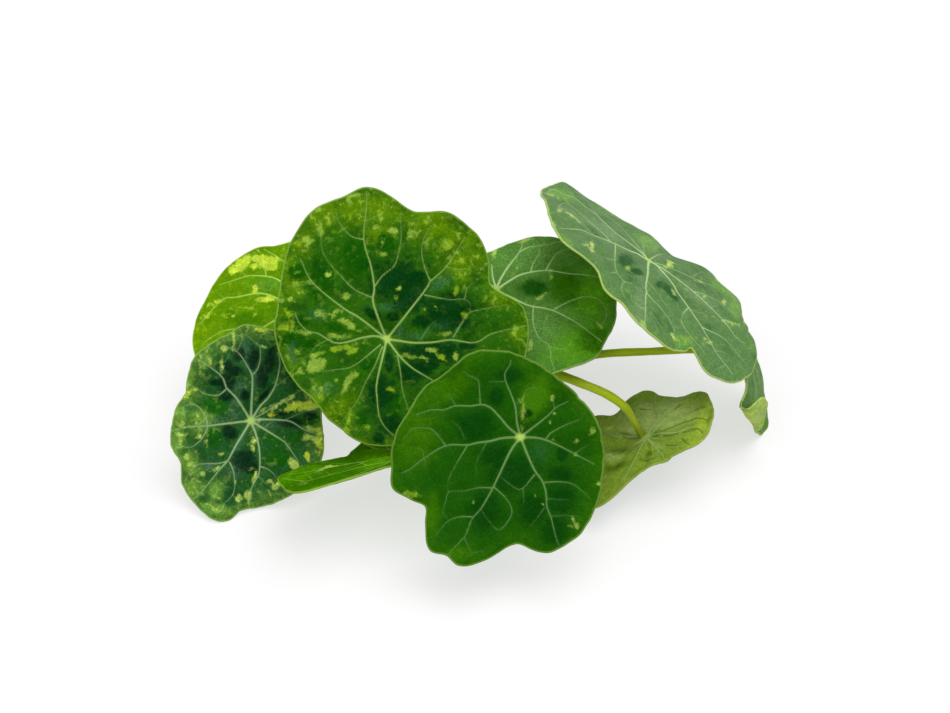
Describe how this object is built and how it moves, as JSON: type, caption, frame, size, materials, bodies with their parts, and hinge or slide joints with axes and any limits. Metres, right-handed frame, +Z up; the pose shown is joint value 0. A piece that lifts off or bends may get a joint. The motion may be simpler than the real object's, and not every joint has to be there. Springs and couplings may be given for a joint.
{
  "type": "nasturtium microgreens",
  "caption": "Small bunch of cut nasturtium shoots with round shield-shaped variegated leaves on slender petioles, lying on a surface.",
  "frame": {"origin": "centre of the bounding box at the surface the bunch lies on", "axes": "+Z up; +X to the right across the bunch; +Y from the front leaves back to the cut stem ends"},
  "size_m": [0.0917, 0.0778, 0.0405],
  "materials": {
    "blade_variegated": "satin leaf, dark green with cream-yellow patches and pale veins",
    "blade_green": "satin leaf, deep green with pale veins and a thin pale margin",
    "blade_frosted": "satin leaf, dark bluish green, faintly frosted by fine hairs, yellow wedge",
    "blade_yellow_green": "satin leaf, bright yellow green",
    "blade_grey_green": "satin leaf, grey green with pale veins",
    "blade_underside": "matte pale green underside with raised veins",
    "stem": "smooth satin stem, yellow green"
  },
  "bodies": {
    "root": {"shoot_left": "stem", "shoot_middle": "stem", "shoot_right": "stem", "leaf_large_left": "blade_variegated", "leaf_front": "blade_green", "leaf_lower_left": "blade_frosted", "leaf_back_left": "blade_yellow_green", "leaf_back_middle": "blade_green", "leaf_upper_right": "blade_grey_green", "leaf_turned_over": "blade_underside", "leaf_low_front": "blade_green", "leaf_right_edge": "blade_grey_green"}
  },
  "joints": []
}
